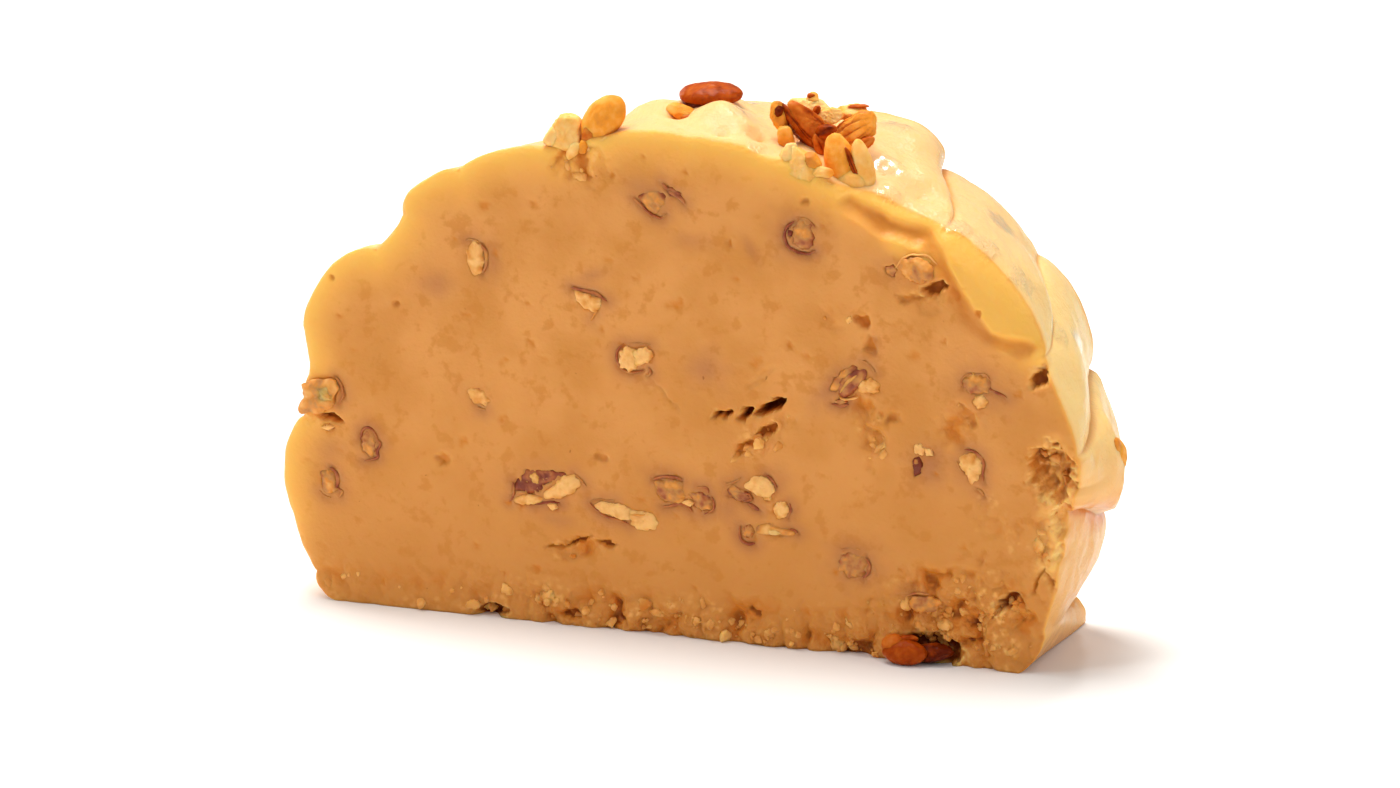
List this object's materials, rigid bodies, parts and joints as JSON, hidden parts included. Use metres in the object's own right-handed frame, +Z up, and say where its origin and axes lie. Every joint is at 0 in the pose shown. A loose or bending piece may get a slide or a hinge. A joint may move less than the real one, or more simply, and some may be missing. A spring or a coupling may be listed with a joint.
{
  "type": "pecan fudge slice",
  "caption": "Thick slice across a hand-folded fudge loaf: domed, flat-based, lumpy skin, pecan pieces cut through in both faces and pressed into the top.",
  "frame": {"origin": "on the flat base, under the middle of the bounding box", "axes": "+X across the cut face, towards its right as seen from the front; +Y from the front cut face to the back one; +Z up"},
  "size_m": [0.1332, 0.034, 0.084],
  "materials": {
    "fudge_paste": "dense caramel-coloured fudge, satin where the knife cut, glossier on the skin",
    "pecan_skin": "brown pecan skin with a soft oily shine",
    "pecan_meat": "matt cream pecan flesh"
  },
  "bodies": {
    "root": {"fudge": "fudge_paste", "pecan_back_01": "pecan_meat", "pecan_back_02": "pecan_meat", "pecan_back_03": "pecan_meat", "pecan_back_04": "pecan_meat", "pecan_back_05": "pecan_meat", "pecan_back_06": "pecan_meat", "pecan_back_07": "pecan_meat", "pecan_back_08": "pecan_meat", "pecan_back_09": "pecan_meat", "pecan_back_10": "pecan_meat", "pecan_back_11": "pecan_meat", "pecan_face_01": "pecan_meat", "pecan_face_02": "pecan_meat", "pecan_face_03": "pecan_meat", "pecan_face_04": "pecan_meat", "pecan_face_05": "pecan_meat", "pecan_face_06": "pecan_meat", "pecan_face_07": "pecan_meat", "pecan_face_08": "pecan_meat", "pecan_face_09": "pecan_meat", "pecan_face_10": "pecan_meat", "pecan_face_11": "pecan_meat", "pecan_face_12": "pecan_meat", "pecan_face_13": "pecan_meat", "pecan_face_14": "pecan_meat", "pecan_face_15": "pecan_meat", "pecan_face_16": "pecan_meat", "pecan_face_17": "pecan_meat", "pecan_face_18": "pecan_meat", "pecan_face_19": "pecan_meat", "pecan_face_20": "pecan_meat", "pecan_face_21": "pecan_meat", "pecan_back_chunk": "pecan_meat", "pecan_cap": "pecan_skin", "pecan_dark_plate": "pecan_meat", "pecan_foot": "pecan_skin", "pecan_left_belly": "pecan_skin", "pecan_left_chunk": "pecan_meat", "pecan_left_oval": "pecan_skin", "pecan_left_side": "pecan_skin", "pecan_left_top": "pecan_meat", "pecan_lobe": "pecan_skin", "pecan_ridged": "pecan_skin", "pecan_side": "pecan_skin", "pecan_star_chunk": "pecan_meat", "pecan_under_cap": "pecan_meat"}
  },
  "joints": []
}
